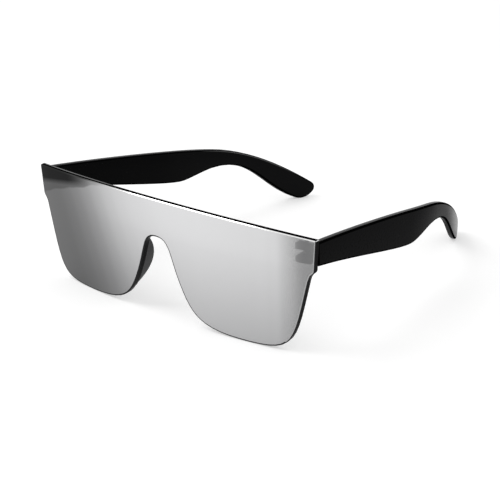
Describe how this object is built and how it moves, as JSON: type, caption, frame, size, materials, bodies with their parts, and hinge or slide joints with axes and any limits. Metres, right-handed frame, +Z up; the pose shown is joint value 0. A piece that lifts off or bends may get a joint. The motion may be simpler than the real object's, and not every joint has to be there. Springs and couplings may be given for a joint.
{
  "type": "rimless shield sunglasses",
  "caption": "Rimless wrap sunglasses: a one-piece mirrored shield lens with a nose notch and wing pads, and wide black temples that fold on screw hinges.",
  "frame": {"origin": "on the surface the open sunglasses stand on, midway between the two sides and between the front of the lens and the back of the ear tips", "axes": "+X to the wearer's left, +Y back from the lens towards the ear tips, +Z up; the pair stands on the two lens lobes and the two ear tips"},
  "size_m": [0.1406, 0.1616, 0.0498],
  "materials": {
    "mirror_lens": "polished",
    "block_plastic": "satin",
    "temple_plastic": "satin",
    "core_metal": "satin",
    "screw_steel": "polished",
    "insert_brass": "satin",
    "pad_rubber": "matte"
  },
  "bodies": {
    "front": {"lens": "mirror_lens", "end_block_left": "block_plastic", "end_block_right": "block_plastic", "hinge_screw_left": "screw_steel", "hinge_screw_right": "screw_steel", "hinge_insert_left": "insert_brass", "hinge_insert_right": "insert_brass", "nose_pad_left": "pad_rubber", "nose_pad_right": "pad_rubber"},
    "left_temple": {"temple_left": "temple_plastic", "temple_core_left": "core_metal"},
    "right_temple": {"temple_right": "temple_plastic", "temple_core_right": "core_metal"}
  },
  "joints": [
    {"name": "left_temple_fold", "type": "hinge", "parent": "front", "child": "left_temple", "pos_m": [0.06381, -0.06661, 0.04096], "axis": [0, -0.0739, 0.9973], "range_deg": [0, 84]},
    {"name": "right_temple_fold", "type": "hinge", "parent": "front", "child": "right_temple", "pos_m": [-0.06381, -0.06661, 0.04096], "axis": [0, 0.0739, -0.9973], "range_deg": [0, 77]}
  ]
}
